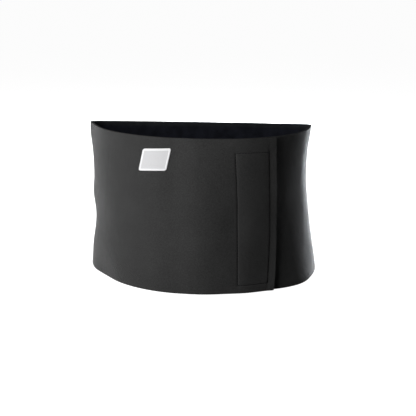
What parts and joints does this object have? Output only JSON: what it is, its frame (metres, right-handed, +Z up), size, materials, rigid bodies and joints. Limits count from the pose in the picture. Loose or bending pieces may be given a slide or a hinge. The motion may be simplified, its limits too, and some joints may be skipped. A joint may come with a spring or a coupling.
{
  "type": "abdominal belt",
  "caption": "Wide neoprene belt worn closed round the waist, its front flap held by a hook strip under a stitched outline.",
  "frame": {"origin": "middle of the bounding box seen from above, on the ground under the belt's level lower rim", "axes": "+X along the belt's width to the viewer's right when facing the front, +Y from the front to the back, +Z up the belt's height"},
  "size_m": [0.343, 0.1916, 0.2215],
  "materials": {
    "neoprene_wrap": "matt dark grey fine jersey knit over foam",
    "inner_lining": "matt blue-black knit",
    "hook_strip": "matt black hook tape",
    "front_label": "bare white woven label"
  },
  "bodies": {
    "root": {"neoprene_wrap": "neoprene_wrap", "inner_lining": "inner_lining", "hook_strip": "hook_strip", "front_label": "front_label"}
  },
  "joints": []
}
